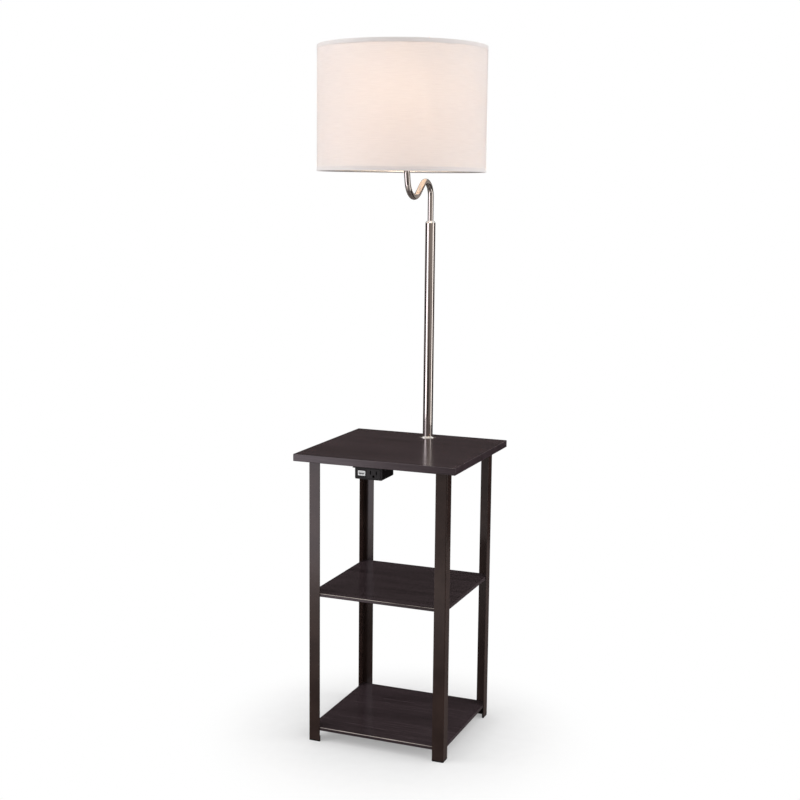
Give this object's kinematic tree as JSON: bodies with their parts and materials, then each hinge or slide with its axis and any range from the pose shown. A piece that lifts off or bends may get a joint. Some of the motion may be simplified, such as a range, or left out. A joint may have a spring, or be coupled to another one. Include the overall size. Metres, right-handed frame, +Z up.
{
  "type": "floor lamp with side table",
  "caption": "Floor lamp that rises from a small side table with shelves and a power box; its bent arm swings a drum shade over the tabletop.",
  "frame": {"origin": "on the floor, at the middle of the whole lamp's footprint with the arm pointing forward", "axes": "+Z up, -Y towards the front, where the shade hangs and the outlet faces; +X to the right as seen from the front"},
  "size_m": [0.3567, 0.3826, 1.4535],
  "materials": {
    "dark_board": "dark brown wood-grain foil on chipboard, satin",
    "board_edging": "edging strip with the same dark grain",
    "coated_steel": "dark brown powder coat, satin",
    "black_plastic": "moulded, fine texture",
    "zinc_steel": "bright zinc plate",
    "nickel_plate": "satin nickel plate",
    "brass": "turned",
    "bulb_aluminium": "rolled thread",
    "bulb_glass": "white inside coat",
    "shade_fabric": "fine plain-weave off-white cloth",
    "shade_backing": "translucent backing sheet",
    "shade_tape": "folded cloth tape",
    "white_plastic": "moulded",
    "circuit_board": "solder mask",
    "soft_rubber": "moulded"
  },
  "bodies": {
    "stand": {"tabletop": "dark_board", "tabletop_edging": "board_edging", "middle_shelf": "dark_board", "middle_shelf_edging": "board_edging", "bottom_shelf": "dark_board", "bottom_shelf_edging": "board_edging", "leg_front_left": "coated_steel", "leg_front_right": "coated_steel", "leg_back_left": "coated_steel", "leg_back_right": "coated_steel", "leg_glides": "black_plastic", "tabletop_screws": "zinc_steel", "middle_shelf_screws": "zinc_steel", "bottom_shelf_screws": "zinc_steel", "pole_flange": "nickel_plate", "pole_tube": "nickel_plate", "pole_base_plug": "zinc_steel", "base_nipple": "brass", "base_washer": "zinc_steel", "base_nut": "zinc_steel", "pole_cap": "nickel_plate", "upper_bushing": "black_plastic", "lower_bushing": "black_plastic", "power_box_shell": "black_plastic", "power_box_face": "black_plastic", "outlet_body": "black_plastic", "outlet_contacts": "brass", "usb_port": "white_plastic", "usb_board": "circuit_board", "power_box_screws": "zinc_steel", "cord_grommet": "soft_rubber"},
    "arm": {"swing_arm": "nickel_plate", "arm_stem": "zinc_steel", "stop_pin": "brass", "retaining_clip": "zinc_steel", "head_nipple": "brass", "harp_saddle": "nickel_plate", "harp_ferrules": "nickel_plate", "harp": "nickel_plate", "finial": "nickel_plate", "socket_cap": "nickel_plate", "socket_shell": "nickel_plate", "socket_core": "black_plastic", "screw_shell": "brass", "socket_contact": "brass", "bulb_base": "bulb_aluminium", "bulb_glass": "bulb_glass", "shade_cover": "shade_fabric", "shade_liner": "shade_backing", "shade_top_frame": "zinc_steel", "shade_bottom_ring": "zinc_steel", "shade_top_trim": "shade_tape", "shade_bottom_trim": "shade_tape"},
    "switch": {"switch_shaft": "brass", "switch_knob": "black_plastic"}
  },
  "joints": [
    {"name": "arm_swivel", "type": "hinge", "parent": "stand", "child": "arm", "pos_m": [0.006, 0.153, 1.05], "axis": [0, 0, 1], "range_deg": [-165, 165]},
    {"name": "switch_turn", "type": "hinge", "parent": "arm", "child": "switch", "pos_m": [0.006, -0.055, 1.28317], "axis": [0, -1, 0], "continuous": true}
  ]
}
